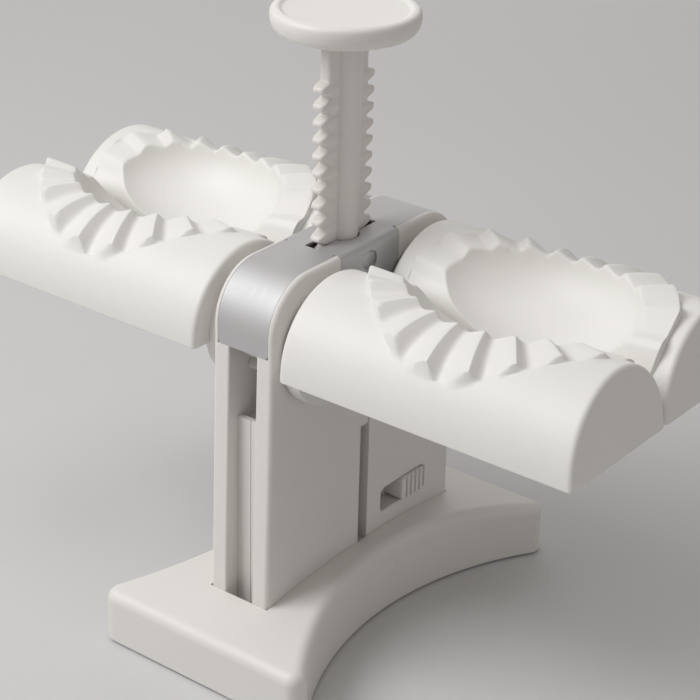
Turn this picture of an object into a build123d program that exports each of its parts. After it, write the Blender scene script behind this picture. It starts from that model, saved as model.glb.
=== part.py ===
"""Double-head empanada press: a knob and rack plunger that turns two pairs of roller moulds.

Units are millimetres. The frame has its origin on the resting surface, under the middle of
the press: +X runs along the moulds, +Z is up, and the front of the press faces -Y.
"""
from build123d import *
import os
from math import atan, cos, hypot, pi, radians, sin, sqrt, tan

os.makedirs("parts", exist_ok=True)

# ------------------------------------------------------------------ driving dimensions
# Jaws: two half-round rollers that roll on each other above the middle of the press
axle_spacing = 59.6
axle_height = 126.0
nip_gap = 0.8
mould_inner_x = 19.4
mould_outer_x = 140.0
mould_skirt = 2.6
mould_wall = 4.8
mould_end_wall = 5.5
end_draft = 6.0
end_round = 1.8
collar_radius = 21.5
cover_thickness = 2.0
cover_margin = 2.6
cover_gap = 0.1

# Bowl and crimping fan of each pair of moulds
bowl_reach_x = 43.0
bowl_reach_y = 36.0
bowl_depth = 25.0
bowl_centre_rise = 31.0
bowl_wall = 2.2
fan_offset = 5.5
fan_reach_x = 55.0
fan_reach_y = 49.4
fan_pinch = 0.055
fan_inner_share = 0.5
fan_crest_share = 0.92
pleat_pitch = 180 / 10.5
pleat_steep_share = 0.26
pleat_crest_share = 0.04
pleat_trough_share = 0.1
pleat_height = 3.3
pleat_height_inside = 1.0
pleat_height_at_ends = 0.22
pleat_mean_rise = -0.4
fan_edge_rise = 0.05

# Rack and gears
gear_module = 2.0
gear_teeth = 16
pressure_angle = 20.0
gear_addendum = 2.0
rack_addendum = 1.6
dedendum = 2.5
tooth_backlash = 0.15
rack_thickness = 5.2
rack_first_tooth = -3
rack_last_tooth = 14

# Gear shafts
journal_radius = 5.0
running_clearance = 0.05
drive_width = 7.0
drive_clearance = 0.05
drive_length = 18.0
journal_overrun = 2.2
boss_radius = 7.5
gear_side_gap = 0.2

# Plunger
core_radius = 6.4
core_clearance = 0.35
knob_radius = 26.8
knob_thickness = 9.0
knob_rise = 115.0
knob_dish = 1.2
knob_rim = 4.6
knob_seat_depth = 4.0
foot_drop = 46.0
foot_thickness = 4.0
foot_half_length = 14.0
foot_bar_width = 8.0
wing_width = 5.1
wing_reach = 13.2
slide_clearance = 0.2

# Column shells
column_half_width = 13.8
shell_thickness = 7.5
column_front_low = 57.5
column_front_high = 55.3
head_rise = 29.3
head_corner_radius = 20.3
shell_edge_round = 1.9
fin_edge_round = 0.8
panel_setback = 5.6
panel_thickness = 2.2
panel_drop = 28.0
parting_gap = 0.1
pillar_radius = 3.8
pillar_reach = 42.0
head_pillar_reach = 44.0
low_pillar_height = 62.0
pillar_panel_gap = 6.0
head_pillar_drop = 11.3
slot_head_room = 0.4
slot_overrun = 1.4

# Metal strap over the head
strap_half_width = 11.5
strap_thickness = 0.8
strap_end_rise = 1.7
strap_slot_reach = 17.5
strap_slot_half_width = 3.0
strap_slot_clearance = 0.5
strap_side_gap = 0.1
tab_half_length = 17.4
tab_depth = 19.3
tab_proud = 0.1
tab_bend_radius = 2.4
tab_hole_radius = 4.0
tab_hole_drop = 7.0
rivet_radius = 3.5
rivet_length = 5.5
relief_notch = 1.0

# Base
base_half_width = 47.0
base_half_depth = 82.0
base_bar_depth = 7.0
base_waist = 24.3
base_crown_rise = 8.1
base_crown_height = 29.8
base_wall = 2.5
base_corner_round = 5.0
base_top_round = 4.5
base_rim_height = 1.0
socket_floor_bottom = 5.0
socket_floor_top = 9.0
socket_gap = 0.06
rib_thickness = 1.8
rib_spacing = 36.0
rib_bottom = 3.0
foot_pad_radius = 6.0
foot_pad_inset = 10.0
foot_pad_height = 3.0
foot_boss_radius = 8.0

# Return spring
spring_mean_radius = 5.2
spring_wire_radius = 0.6
spring_turns = 11
seat_flange_thickness = 2.0
seat_pin_radius = 4.0
seat_pin_height = 9.0
seat_stem_radius = 3.0

# Lock on the right-hand shell
window_front = 12.0
window_back = 41.0
window_bottom = 36.0
window_top = 46.4
window_round_front = 2.2
window_round_back = 4.2
window_chamfer = 0.5
lock_gap = 0.3
button_length = 16.6
button_proud = 1.5
button_round = 0.8
button_ribs = 5
button_rib_depth = 0.9
flange_thickness = 1.9
flange_margin = 2.6
bolt_half_width = 5.4
bolt_bottom = 34.3
bolt_height = 3.8
bolt_reach = 5.8

# Screws
shell_screw_radius = 1.5
shell_screw_head_radius = 2.8
shell_screw_head_height = 2.0
shell_screw_recess = 3.5
base_screw_radius = 1.6
base_screw_head_radius = 3.3
base_screw_length = 15.0
base_screw_y = 35.0
mould_screw_radius = 1.25
mould_screw_head_radius = 2.4
mould_screw_head_height = 1.5
foot_screw_radius = 1.6
foot_screw_head_radius = 3.4
foot_screw_head_height = 1.8

# ------------------------------------------------------------------ sizes that follow
axle_y = axle_spacing / 2
mould_radius = (axle_spacing - nip_gap) / 2
mould_length = mould_outer_x - mould_inner_x
mould_centre_x = (mould_outer_x + mould_inner_x) / 2
mould_bottom = axle_height - mould_skirt
collar_start_x = column_half_width + tab_proud + 0.4
pitch_radius = gear_module * gear_teeth / 2
rack_pitch = pi * gear_module
rack_line = axle_y - pitch_radius
rack_root = rack_line - dedendum
rack_tip = rack_line + rack_addendum
stroke = pi * pitch_radius
channel_half = column_half_width - shell_thickness
head_top = axle_height + head_rise
panel_top = axle_height - panel_drop
strap_end_height = axle_height + strap_end_rise
tab_bottom = head_top - tab_depth
tab_hole_height = head_top - tab_hole_drop
bowl_centre_height = axle_height + bowl_centre_rise
base_arc_start = base_half_depth - base_bar_depth
base_edge_height = base_crown_height - base_crown_rise
foot_pad_x = base_half_width - foot_pad_inset
foot_pad_y = base_half_depth - foot_pad_inset
core_bore = core_radius + core_clearance
knob_top = axle_height + knob_rise
knob_bottom = knob_top - knob_thickness
foot_bottom = axle_height - foot_drop
foot_top = foot_bottom + foot_thickness
spring_bottom = socket_floor_top + seat_flange_thickness
drive_start_x = collar_start_x + journal_overrun
drive_end_x = drive_start_x + drive_length
panel_y = column_front_high - panel_setback + 1.0
tab_outer_x = column_half_width + tab_proud
side_slot_top = foot_top + slot_head_room
panel_pillar_height = panel_top - pillar_panel_gap
head_pillar_height = head_top - head_pillar_drop
pillars = [(side * pillar_reach, height) for height in (low_pillar_height, panel_pillar_height)
           for side in (-1, 1)]
pillars += [(side * head_pillar_reach, head_pillar_height) for side in (-1, 1)]


def finish(part, label, file_name):
    """Label a finished piece and write it as one STEP file."""
    part.label = label
    export_step(part, f"parts/{file_name}.step")


# ------------------------------------------------------------------ base
def base_plan(inset):
    """Outline of the base seen from above: a bar with two scooped sides."""
    half_x = base_half_width - inset
    half_y = base_half_depth - inset
    start = base_arc_start - inset
    waist = base_waist - inset
    with BuildSketch() as plan:
        with BuildLine():
            Polyline((half_x, start), (half_x, half_y), (-half_x, half_y), (-half_x, start))
            ThreePointArc((-half_x, start), (-waist, 0), (-half_x, -start))
            Polyline((-half_x, -start), (-half_x, -half_y), (half_x, -half_y), (half_x, -start))
            ThreePointArc((half_x, -start), (waist, 0), (half_x, start))
        make_face()
        corners = plan.vertices().filter_by(lambda v: abs(v.Y) > half_y - 0.01)
        fillet(corners, radius=max(base_corner_round - inset, 1.0))
    return plan.sketch


def base_form(inset):
    """Solid of the base, crowned along Y, shrunk by inset on the sides and the top."""
    edge = base_edge_height - inset
    crown = base_crown_height - inset
    with BuildPart() as form:
        with BuildSketch(Plane.XY.offset(base_rim_height)):
            add(base_plan(inset))
        extrude(amount=crown)
        with BuildSketch(Plane.YZ.offset(-base_half_width)):
            with BuildLine():
                ThreePointArc((-base_half_depth, edge), (0, crown), (base_half_depth, edge))
                Polyline((base_half_depth, edge), (base_half_depth, 0), (-base_half_depth, 0),
                         (-base_half_depth, edge))
            make_face()
        extrude(amount=2 * base_half_width, mode=Mode.INTERSECT)
        top_face = form.faces().sort_by(Axis.Z)[-1]
        fillet(top_face.edges(), radius=max(base_top_round - inset, 1.0))
    return form.part


socket_half_x = column_half_width + socket_gap
socket_half_y = column_front_low + socket_gap
base_screw_x = column_half_width - shell_thickness / 2
base_screw_spots = [(x, y) for x in (-base_screw_x, base_screw_x) for y in (-base_screw_y, base_screw_y)]
pad_spots = [(x, y) for x in (-foot_pad_x, foot_pad_x) for y in (-foot_pad_y, foot_pad_y)]

with BuildPart() as base_inside:
    with BuildSketch(Plane.XY.offset(socket_floor_bottom)):
        Rectangle(2 * (socket_half_x + base_wall), 2 * (socket_half_y + base_wall))
    extrude(amount=base_crown_height)
    with BuildSketch(Plane.XY.offset(rib_bottom)):
        with GridLocations(0, rib_spacing, 1, 4):
            Rectangle(2 * base_half_width, rib_thickness)
    extrude(amount=base_crown_height)
    with BuildSketch(Plane.XY.offset(base_rim_height)):
        with Locations(*pad_spots):
            Circle(foot_boss_radius)
    extrude(amount=base_crown_height)
    add(base_form(base_wall / 2), mode=Mode.INTERSECT)

with BuildPart() as base:
    add(base_form(0))
    add(base_form(base_wall), mode=Mode.SUBTRACT)
    add(base_inside.part)
    with BuildSketch(Plane.XY.offset(socket_floor_top)):
        Rectangle(2 * socket_half_x, 2 * socket_half_y)
    extrude(amount=base_crown_height, mode=Mode.SUBTRACT)
    with BuildSketch(Plane.XY.offset(socket_floor_bottom)):
        with Locations(*base_screw_spots):
            Circle(base_screw_radius + running_clearance)
        Circle(seat_stem_radius)
    extrude(amount=base_crown_height, mode=Mode.SUBTRACT)
    with BuildSketch(Plane.XY.offset(base_rim_height)):
        with Locations(*pad_spots):
            Circle(foot_pad_radius)
    extrude(amount=foot_pad_height - base_rim_height, mode=Mode.SUBTRACT)
finish(base.part, "base", "base")

with BuildPart() as rubber_feet:
    with BuildSketch():
        with Locations(*pad_spots):
            Circle(foot_pad_radius)
    extrude(amount=foot_pad_height)
    chamfer(rubber_feet.edges().group_by(Axis.Z)[0], length=0.5)
finish(rubber_feet.part, "rubber_feet", "rubber_feet")

with BuildPart() as base_screws:
    with BuildSketch(Plane.XY.offset(socket_floor_bottom)):
        with Locations(*base_screw_spots):
            Circle(base_screw_head_radius)
    extrude(amount=-foot_screw_head_height)
    with BuildSketch(Plane.XY.offset(socket_floor_bottom)):
        with Locations(*base_screw_spots):
            Circle(base_screw_radius)
    extrude(amount=base_screw_length)
finish(base_screws.part, "base_screws", "base_screws")


# ------------------------------------------------------------------ column shells
def side_outline(inset):
    """Side view of the column and head, shrunk by inset round the head."""
    low = column_front_low
    high = column_front_high - inset
    top = head_top - inset
    with BuildSketch() as outline:
        with BuildLine():
            Polyline((-low, socket_floor_top), (-low, base_crown_height), (-high, strap_end_height),
                     (-high, top), (high, top), (high, strap_end_height), (low, base_crown_height),
                     (low, socket_floor_top), close=True)
        make_face()
        fillet(outline.vertices().group_by(Axis.Y)[-1], radius=head_corner_radius - inset)
    return outline.sketch


def strap_band(half_width):
    """The strap's band: the skin of the head from its front end over the top to its back end."""
    with BuildPart() as band:
        with BuildSketch(Plane.YZ.offset(-half_width)):
            add(side_outline(0))
            add(side_outline(strap_thickness), mode=Mode.SUBTRACT)
            with Locations((0, strap_end_height - base_half_depth)):
                Rectangle(4 * base_half_depth, 2 * base_half_depth, mode=Mode.SUBTRACT)
        extrude(amount=2 * half_width)
    return band.part


def tab_core(half_length, bottom):
    """The block that each side tab is folded round: a bar with one rounded edge."""
    inner_x = tab_outer_x - strap_thickness
    start_x = strap_half_width - 2.0
    under_top = head_top - strap_thickness
    with BuildPart() as core:
        with BuildSketch(Plane.XZ.offset(-half_length)) as section:
            with BuildLine():
                Polyline((start_x, bottom), (inner_x, bottom), (inner_x, under_top),
                         (start_x, under_top), close=True)
            make_face()
            outer = section.vertices().group_by(Axis.Y)[-1].sort_by(Axis.X)[-1]
            fillet(outer, radius=tab_bend_radius - strap_thickness)
        extrude(amount=2 * half_length)
    return core.part


def column_shell(side):
    """One half of the column and head: a thick side plate with half panels and screw pillars."""
    with BuildPart() as shell:
        with BuildSketch(Plane.YZ.offset(channel_half)):
            add(side_outline(0))
        extrude(amount=shell_thickness)
        outer_face = shell.faces().sort_by(Axis.X)[-1]
        rim = outer_face.edges().filter_by(lambda e: e.center().Z > socket_floor_top + 1)
        fillet(rim, radius=shell_edge_round)
        inner_face = shell.faces().sort_by(Axis.X)[0]
        fins = inner_face.edges().filter_by(lambda e: abs(e.center().Y) > column_front_high - 1
                                            and e.center().Z < strap_end_height
                                            and e.center().Z > socket_floor_top + 1)
        fillet(fins, radius=fin_edge_round)
        # half panels that close the front and the back channel
        with BuildSketch(Plane.XY.offset(socket_floor_top)):
            with Locations((channel_half / 2 + parting_gap / 2, panel_y - panel_thickness / 2),
                           (channel_half / 2 + parting_gap / 2, panel_thickness / 2 - panel_y)):
                Rectangle(channel_half - parting_gap, panel_thickness)
        extrude(amount=panel_top - socket_floor_top)
        # pillars that meet the other shell's
        with BuildSketch(Plane.YZ):
            with Locations(*pillars):
                Circle(pillar_radius)
        extrude(amount=channel_half + 1)
        # seat of the strap and of its side tab
        add(strap_band(strap_half_width + strap_side_gap), mode=Mode.SUBTRACT)
        with BuildSketch(Plane.XZ.offset(-tab_half_length - strap_side_gap)):
            with Locations((strap_half_width + 5, head_top)):
                Rectangle(10, 2 * (head_top - tab_bottom + strap_side_gap))
        extrude(amount=2 * (tab_half_length + strap_side_gap), mode=Mode.SUBTRACT)
        add(tab_core(tab_half_length + strap_side_gap, tab_bottom - 2))
        with BuildSketch(Plane.YZ.offset(tab_outer_x)):
            with Locations((0, tab_hole_height)):
                Circle(rivet_radius)
        extrude(amount=-rivet_length, mode=Mode.SUBTRACT)
        # bores: plunger core, jaw journals, wing slot, screws
        with BuildSketch(Plane.XY.offset(socket_floor_top)):
            Circle(core_bore)
        extrude(amount=head_top, mode=Mode.SUBTRACT)
        with BuildSketch(Plane.YZ):
            with Locations((-axle_y, axle_height), (axle_y, axle_height)):
                Circle(journal_radius + running_clearance)
            with Locations((0, (side_slot_top + slot_floor) / 2)):
                Rectangle(wing_width + 2 * slide_clearance, side_slot_top - slot_floor)
        extrude(amount=column_half_width, mode=Mode.SUBTRACT)
        with BuildSketch(Plane.XY.offset(socket_floor_top)):
            with Locations((base_screw_x, -base_screw_y), (base_screw_x, base_screw_y)):
                Circle(base_screw_radius)
        extrude(amount=base_screw_length, mode=Mode.SUBTRACT)
        with BuildSketch(Plane.YZ):
            with Locations(*pillars):
                Circle(shell_screw_radius)
        extrude(amount=screw_tip_x, mode=Mode.SUBTRACT)
        if side > 0:
            add(lock_window(), mode=Mode.SUBTRACT)
        else:
            with BuildSketch(Plane.YZ.offset(column_half_width)):
                with Locations(*pillars):
                    Circle(shell_screw_head_radius + running_clearance)
            extrude(amount=-shell_screw_recess, mode=Mode.SUBTRACT)
            with BuildSketch(Plane.YZ):
                with Locations(*pillars):
                    Circle(shell_screw_radius)
            extrude(amount=column_half_width, mode=Mode.SUBTRACT)
    return shell.part if side > 0 else mirror(shell.part, about=Plane.YZ)


def window_sketch(front, gap):
    """Outline of the lock's window from a front edge to its back end, shrunk by gap all round."""
    with BuildSketch() as outline:
        with Locations(((front + window_back) / 2, (window_bottom + window_top) / 2)):
            Rectangle(window_back - front - 2 * gap, window_top - window_bottom - 2 * gap)
        fillet(outline.vertices().group_by(Axis.X)[0], radius=window_round_front - gap)
        fillet(outline.vertices().group_by(Axis.X)[-1], radius=window_round_back - gap)
    return outline.sketch


def lock_window():
    """Block that fills the lock's window, with a chamfered mouth."""
    with BuildPart() as window:
        with BuildSketch(Plane.YZ.offset(channel_half - 1)):
            add(window_sketch(window_front, 0))
        extrude(amount=shell_thickness + 2)
        with BuildSketch(Plane.YZ.offset(column_half_width)):
            add(window_sketch(window_front, -window_chamfer))
        extrude(amount=-window_chamfer, taper=45)
    return window.part


slot_floor = foot_bottom - stroke - slot_overrun
screw_tip_x = 11.0
column_right = column_shell(1)
column_left = column_shell(-1)
finish(column_right, "column_right", "column_right")
finish(column_left, "column_left", "column_left")

with BuildPart() as column_screws:
    head_outer_x = shell_screw_recess - column_half_width - shell_screw_head_height
    with BuildSketch(Plane.YZ.offset(head_outer_x)):
        with Locations(*pillars):
            Circle(shell_screw_head_radius)
    extrude(amount=shell_screw_head_height)
    with BuildSketch(Plane.YZ.offset(head_outer_x)):
        with Locations(*pillars):
            Circle(shell_screw_radius)
    extrude(amount=screw_tip_x - head_outer_x)
finish(column_screws.part, "column_screws", "column_screws")

# ------------------------------------------------------------------ strap and rivets
with BuildPart() as tab:
    with BuildSketch(Plane.XZ.offset(-tab_half_length)) as tab_section:
        with BuildLine():
            Polyline((strap_half_width - 1, tab_bottom), (tab_outer_x, tab_bottom), (tab_outer_x, head_top),
                     (strap_half_width - 1, head_top), close=True)
        make_face()
        fillet(tab_section.vertices().group_by(Axis.Y)[-1].sort_by(Axis.X)[-1], radius=tab_bend_radius)
    extrude(amount=2 * tab_half_length)
    add(tab_core(tab_half_length + 1, tab_bottom - 2), mode=Mode.SUBTRACT)
    tab_corners = tab.edges().filter_by(Axis.X).group_by(Axis.Z)[0]
    fillet(tab_corners, radius=3.0)
    with BuildSketch(Plane.YZ.offset(tab_outer_x + 1)):
        with Locations((0, tab_hole_height)):
            Circle(tab_hole_radius)
    extrude(amount=-3, mode=Mode.SUBTRACT)

with BuildPart() as head_strap:
    add(strap_band(strap_half_width))
    with BuildSketch(Plane.XZ.offset(-column_front_low)):
        with Locations((0, strap_end_height + head_top / 2)):
            RectangleRounded(2 * strap_half_width, head_top, 2.0)
    extrude(amount=2 * column_front_low, mode=Mode.INTERSECT)
    add(tab.part)
    add(mirror(tab.part, about=Plane.YZ))
    with BuildSketch(Plane.XY.offset(head_top - 2 * strap_thickness)):
        Rectangle(2 * strap_slot_half_width, 2 * strap_slot_reach)
        Circle(core_radius + strap_slot_clearance)
        notch_y = tab_half_length + relief_notch / 2
        with Locations(*[(x, y) for x in (-strap_half_width, strap_half_width) for y in (-notch_y, notch_y)]):
            Rectangle(2 * relief_notch, relief_notch)
    extrude(amount=3 * strap_thickness, mode=Mode.SUBTRACT)
finish(head_strap.part, "head_strap", "head_strap")

with BuildPart() as strap_rivets:
    for side in (-1, 1):
        with BuildSketch(Plane.YZ.offset(side * (tab_outer_x - rivet_length))):
            with Locations((0, tab_hole_height)):
                Circle(rivet_radius)
        extrude(amount=side * (rivet_length - 0.2))
finish(strap_rivets.part, "strap_rivets", "strap_rivets")

# ------------------------------------------------------------------ plunger
def rack_tooth():
    """One tooth of the rack, pointing along +X from the rack's root line."""
    slope = tan(radians(pressure_angle))
    half_root = rack_pitch / 4 - tooth_backlash / 2 + dedendum * slope
    half_tip = rack_pitch / 4 - tooth_backlash / 2 - rack_addendum * slope
    with BuildSketch() as tooth:
        with BuildLine():
            Polyline((rack_root - 1, -half_root), (rack_root, -half_root), (rack_tip, -half_tip),
                     (rack_tip, half_tip), (rack_root, half_root), (rack_root - 1, half_root), close=True)
        make_face()
        fillet(tooth.vertices().group_by(Axis.X)[-1], radius=0.5)
    return tooth.sketch


with BuildPart() as rack_rod:
    with BuildSketch(Plane.XY.offset(foot_top)):
        Circle(core_radius)
    extrude(amount=knob_bottom + knob_seat_depth - foot_top)
    rack_start = axle_height + (rack_first_tooth - 0.5) * rack_pitch
    with BuildSketch(Plane.YZ.offset(-rack_thickness / 2)):
        with Locations((0, (rack_start + knob_bottom) / 2)):
            Rectangle(2 * rack_root, knob_bottom - rack_start)
        for number in range(rack_first_tooth, rack_last_tooth + 1):
            with Locations((0, axle_height + number * rack_pitch)):
                add(rack_tooth())
                add(rack_tooth().rotate(Axis.Z, 180))
    extrude(amount=rack_thickness)
    with BuildSketch(Plane.XY.offset(foot_top)):
        Circle(foot_screw_radius)
    extrude(amount=12, mode=Mode.SUBTRACT)
finish(rack_rod.part, "rack_rod", "rack_rod")

with BuildPart() as press_knob:
    with BuildSketch(Plane.XZ) as knob_section:
        with BuildLine():
            Polyline((0, knob_bottom), (knob_radius, knob_bottom), (knob_radius, knob_top),
                     (knob_radius - knob_rim, knob_top), (knob_radius - knob_rim - 1.5, knob_top - knob_dish),
                     (0, knob_top - knob_dish), close=True)
        make_face()
        fillet(knob_section.vertices().group_by(Axis.X)[-1], radius=knob_thickness / 2 - 0.6)
    revolve(axis=Axis.Z)
    with BuildSketch(Plane.XY.offset(knob_bottom)):
        Circle(core_radius)
    extrude(amount=knob_seat_depth, mode=Mode.SUBTRACT)
finish(press_knob.part, "press_knob", "press_knob")

with BuildPart() as guide_foot:
    with BuildSketch(Plane.XY.offset(foot_bottom)):
        Circle(core_radius - 0.2)
        Rectangle(foot_bar_width, 2 * foot_half_length)
        Rectangle(2 * wing_reach, wing_width)
    extrude(amount=foot_thickness)
    with BuildSketch(Plane.XY.offset(foot_bottom)):
        Circle(foot_screw_radius)
    extrude(amount=foot_thickness, mode=Mode.SUBTRACT)
finish(guide_foot.part, "guide_foot", "guide_foot")

with BuildPart() as foot_screw:
    with BuildSketch(Plane.XY.offset(foot_bottom - foot_screw_head_height)):
        Circle(foot_screw_head_radius)
    extrude(amount=foot_screw_head_height)
    with BuildSketch(Plane.XY.offset(foot_bottom)):
        Circle(foot_screw_radius)
    extrude(amount=foot_thickness + 10)
finish(foot_screw.part, "foot_screw", "foot_screw")

# ------------------------------------------------------------------ return spring and its seat
with BuildPart() as spring_seat:
    with BuildSketch(Plane.XY.offset(socket_floor_bottom)):
        Circle(seat_stem_radius)
    extrude(amount=socket_floor_top - socket_floor_bottom)
    with BuildSketch(Plane.XY.offset(socket_floor_top)):
        Circle(spring_mean_radius + spring_wire_radius + 0.3)
    extrude(amount=seat_flange_thickness)
    with BuildSketch(Plane.XY.offset(spring_bottom)):
        Circle(seat_pin_radius)
    extrude(amount=seat_pin_height)
finish(spring_seat.part, "spring_seat", "spring_seat")

spring_rise = foot_bottom - spring_bottom - 2 * spring_wire_radius
with BuildPart() as return_spring:
    with BuildLine() as coil:
        Helix(pitch=spring_rise / spring_turns, height=spring_rise, radius=spring_mean_radius,
              center=(0, 0, spring_bottom + spring_wire_radius))
    with BuildSketch(Plane(origin=coil.line @ 0, z_dir=coil.line % 0)):
        RegularPolygon(spring_wire_radius, 6)
    sweep()
finish(return_spring.part, "return_spring", "return_spring")


# ------------------------------------------------------------------ lock
with BuildPart() as lock_button:
    button_front = window_back - lock_gap - button_length
    with BuildSketch(Plane.YZ.offset(channel_half - 0.2)):
        add(window_sketch(button_front - lock_gap, lock_gap))
    extrude(amount=shell_thickness + 0.2 + button_proud)
    fillet(lock_button.faces().sort_by(Axis.X)[-1].edges(), radius=button_round)
    with BuildSketch(Plane.YZ.offset(column_half_width + button_proud)):
        with Locations(((button_front + window_back) / 2, (window_bottom + window_top) / 2)):
            with GridLocations(button_length / (button_ribs + 1), 0, button_ribs, 1):
                Rectangle(button_length / (button_ribs + 1) / 2, window_top)
    extrude(amount=-button_rib_depth, mode=Mode.SUBTRACT)
    with BuildSketch(Plane.YZ.offset(channel_half - 0.2 - flange_thickness)):
        with Locations(((button_front + window_back) / 2, (window_bottom + window_top) / 2)):
            Rectangle(button_length + flange_margin, window_top - window_bottom + 2 * flange_margin)
    extrude(amount=flange_thickness)
finish(lock_button.part, "lock_button", "lock_button")

with BuildPart() as lock_bolt:
    flange_inner_x = channel_half - 0.2 - flange_thickness
    with BuildSketch(Plane.XY.offset(bolt_bottom)):
        with Locations(((flange_inner_x - bolt_half_width) / 2,
                        button_front + (button_length - bolt_reach) / 2)):
            Rectangle(flange_inner_x + bolt_half_width, button_length + bolt_reach)
    extrude(amount=bolt_height)
finish(lock_bolt.part, "lock_bolt", "lock_bolt")


# ------------------------------------------------------------------ gear shafts
def involute(base_radius, radius):
    """Angle that the involute has turned through where it reaches a radius."""
    roll = sqrt(max((radius / base_radius) ** 2 - 1, 0))
    return roll - atan(roll)


def gear_tooth():
    """One involute tooth, pointing along +X from the middle of the gear."""
    base_radius = pitch_radius * cos(radians(pressure_angle))
    tip_radius = pitch_radius + gear_addendum
    root_radius = pitch_radius - dedendum
    half_angle = (rack_pitch / 2 - tooth_backlash) / 2 / pitch_radius + involute(base_radius, pitch_radius)
    radii = [base_radius + (tip_radius - base_radius) * step / 4 for step in range(5)]
    flank = [(r * cos(half_angle - involute(base_radius, r)), r * sin(half_angle - involute(base_radius, r)))
             for r in radii]
    start = (root_radius * cos(half_angle), root_radius * sin(half_angle))
    with BuildSketch() as tooth:
        with BuildLine():
            Polyline((root_radius - 2, 0), start, flank[0])
            Spline(*flank)
            ThreePointArc(flank[-1], (tip_radius, 0), (flank[-1][0], -flank[-1][1]))
            Spline(*[(x, -y) for x, y in reversed(flank)])
            Polyline((flank[0][0], -flank[0][1]), (start[0], -start[1]), (root_radius - 2, 0))
        make_face()
    return tooth.sketch


def gear_outline():
    """Gear about the origin, with a tooth space towards +X and towards -X."""
    with BuildSketch() as gear:
        Circle(pitch_radius - dedendum + 0.02)
        with PolarLocations(0, gear_teeth, start_angle=180 / gear_teeth):
            add(gear_tooth())
    return gear.sketch


gear_half_width = channel_half - gear_side_gap


def gear_shaft(jaw_y):
    """Gear, two journals and two square drives in one piece, on the axle line at jaw_y."""
    with BuildPart() as shaft:
        with BuildSketch(Plane.YZ.offset(-gear_half_width)):
            with Locations((jaw_y, axle_height)):
                add(gear_outline())
        extrude(amount=2 * gear_half_width)
        with BuildSketch(Plane.YZ.offset(-drive_start_x)):
            with Locations((jaw_y, axle_height)):
                Circle(journal_radius)
        extrude(amount=2 * drive_start_x)
        with BuildSketch(Plane.YZ.offset(-drive_end_x)):
            with Locations((jaw_y, axle_height)):
                Rectangle(drive_width, drive_width)
        extrude(amount=2 * drive_end_x)
        with BuildSketch(Plane.XY.offset(axle_height - drive_width)):
            with Locations((-mould_screw_x, jaw_y), (mould_screw_x, jaw_y)):
                Circle(mould_screw_radius)
        extrude(amount=drive_width + 2, mode=Mode.SUBTRACT)
    return shaft.part


mould_screw_x = (mould_inner_x + drive_end_x) / 2
finish(gear_shaft(-axle_y), "front_gear_shaft", "front_gear_shaft")
finish(gear_shaft(axle_y), "back_gear_shaft", "back_gear_shaft")


# ------------------------------------------------------------------ moulds
def fan_reach(angle):
    """Plan vector from the fan's middle to its outer edge, at an angle from +X over the front."""
    share = 1 - fan_pinch * sin(2 * angle) ** 2
    return share * fan_reach_x * cos(angle), -share * fan_reach_y * sin(angle)


def fan_heights(angle, swing):
    """Points along one pleat line: distance from the fan's middle, and height of the surface."""
    across = fan_reach(angle)
    reach = hypot(*across)
    fade = pleat_height_at_ends + (1 - pleat_height_at_ends) * sin(angle)
    points = []
    for step in range(4):
        share = fan_inner_share + (fan_crest_share - fan_inner_share) * step / 3
        lift = pleat_height_inside + (pleat_height - pleat_height_inside) * step / 3
        points.append(surface_point(across, reach, share, pleat_mean_rise + swing * lift * fade))
    points.append(surface_point(across, reach, 1.0, fan_edge_rise))
    return points


def surface_point(across, reach, share, rise):
    """Distance and height of a point over the front jaw's round, raised above it by a rise."""
    y = share * across[1] - fan_offset
    radius = mould_radius + rise
    return share * reach, axle_height + sqrt(radius ** 2 - (y + axle_y) ** 2)


def fan_slice(side, angle, surface, level):
    """Upright slice between the fan's surface and a level, in distance from its middle and height."""
    across = fan_reach(angle)
    ray = Plane(origin=(side * mould_centre_x, -fan_offset, 0), x_dir=(across[0], across[1], 0),
                z_dir=(across[1], -across[0], 0))
    with BuildSketch(ray) as section:
        with BuildLine():
            Spline(*surface[:4])
            Polyline(surface[3], surface[4], (surface[4][0], level), (surface[0][0], level), surface[0])
        make_face()
    return section.sketch


def fan_blank(side):
    """The fan before it is crimped: a raised half ring that slopes down to the mould outside."""
    with BuildPart() as blank:
        for step in range(13):
            angle = pi * (1 - step / 12)
            surface = [(distance - 0.4, height + 0.3) for distance, height in fan_heights(angle, 1.1)]
            add(fan_slice(side, angle, surface, axle_height + mould_skirt))
        loft(ruled=True)
    return blank.part


def fan_crimp(side):
    """Everything above the crimped surface: long faces rise towards +X, short steep faces fall."""
    steep = pleat_pitch * pleat_steep_share
    crest = pleat_pitch * pleat_crest_share
    trough = pleat_pitch * pleat_trough_share
    lines = [(180.0, -0.6)]
    for number in range(5, -6, -1):
        middle = 90 + number * pleat_pitch
        lines += [(middle + steep / 2 + crest, 1), (middle + steep / 2, 1)]
        lines += [(middle - steep / 2, -1), (middle - steep / 2 - trough, -1)]
    lines += [(0.0, 0.6)]
    with BuildPart() as crimp:
        for degrees, swing in lines:
            angle = radians(degrees)
            add(fan_slice(side, angle, fan_heights(angle, swing), axle_height + 2 * mould_radius))
        loft(ruled=True)
    return crimp.part


def bowl_form(side, grow):
    """Ellipsoid of the bowl that a pair of moulds shares, grown by a wall."""
    with BuildPart() as ball:
        Sphere(1)
        scale(by=(bowl_reach_x + grow, bowl_reach_y + grow, bowl_depth + grow))
    return ball.part.moved(Location((side * mould_centre_x, 0, bowl_centre_height)))


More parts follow.
